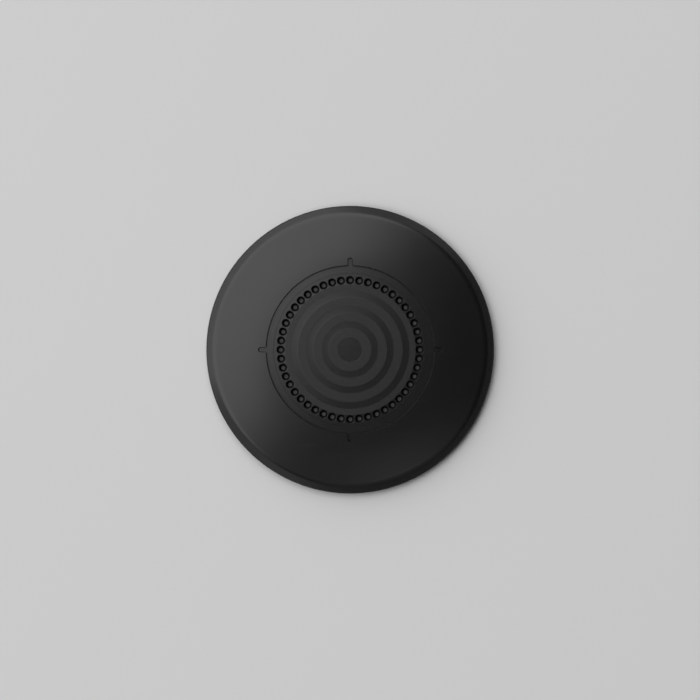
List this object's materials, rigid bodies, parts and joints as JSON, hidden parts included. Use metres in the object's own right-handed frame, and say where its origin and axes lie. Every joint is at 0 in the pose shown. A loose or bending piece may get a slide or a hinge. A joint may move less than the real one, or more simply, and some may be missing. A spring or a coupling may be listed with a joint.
{
  "type": "adhesive magnetic phone patch",
  "caption": "Low round dome that is glued to the back of a phone, with a stepped magnetic docking face, index dimples and keyways.",
  "frame": {"origin": "centre of the adhesive face, which lies on the phone", "axes": "+Z out of the docking face, away from the phone; +Y to the phone's top edge; keyways on +X, +Y, -X and -Y"},
  "size_m": [0.062, 0.062, 0.0051],
  "materials": {
    "shell": "satin black, finely moulded",
    "insert": "satin black with matte bands",
    "magnet": "nickel plated",
    "yoke": "zinc plated sheet",
    "base": "matte black",
    "foam": "closed-cell foam, sticky on both sides"
  },
  "bodies": {
    "root": {"outer_shell": "shell", "docking_insert": "insert", "magnet_1": "magnet", "magnet_2": "magnet", "magnet_3": "magnet", "magnet_4": "magnet", "magnet_5": "magnet", "magnet_6": "magnet", "magnet_7": "magnet", "magnet_8": "magnet", "yoke_plate": "yoke", "base_plate": "base", "adhesive_pad": "foam"}
  },
  "joints": []
}
